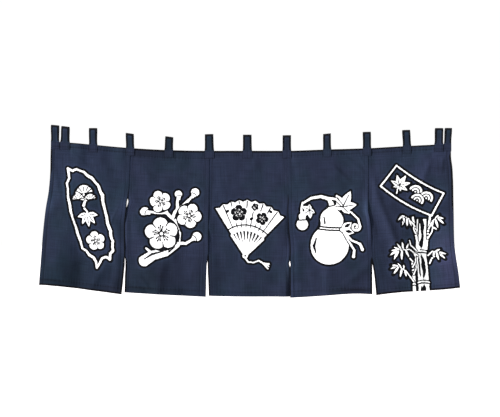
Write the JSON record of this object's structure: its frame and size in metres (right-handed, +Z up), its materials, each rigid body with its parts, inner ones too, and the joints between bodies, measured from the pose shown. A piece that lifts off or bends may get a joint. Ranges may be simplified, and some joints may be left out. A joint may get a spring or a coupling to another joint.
{
  "type": "noren curtain",
  "caption": "Split shop curtain: navy cloth panels side by side, joined at the top third and open below, hung by cloth loops on a rod.",
  "frame": {"origin": "centre of the eye of the middle cloth loop, where the rod's axis passes", "axes": "+X along the rod to the right as seen from the front, +Y away from the viewer through the cloth, +Z up"},
  "size_m": [1.753, 0.0391, 0.722],
  "materials": {
    "panel_cloth": "matt navy plain-weave cotton with white dye-resist print",
    "loop_cloth": "matt navy doubled cotton strap"
  },
  "bodies": {
    "root": {"panel_1": "panel_cloth", "panel_2": "panel_cloth", "panel_3": "panel_cloth", "panel_4": "panel_cloth", "panel_5": "panel_cloth", "tab_01": "loop_cloth", "tab_02": "loop_cloth", "tab_03": "loop_cloth", "tab_04": "loop_cloth", "tab_05": "loop_cloth", "tab_06": "loop_cloth", "tab_07": "loop_cloth", "tab_08": "loop_cloth", "tab_09": "loop_cloth", "tab_10": "loop_cloth", "tab_11": "loop_cloth", "tab_12": "loop_cloth", "tab_13": "loop_cloth"}
  },
  "joints": []
}
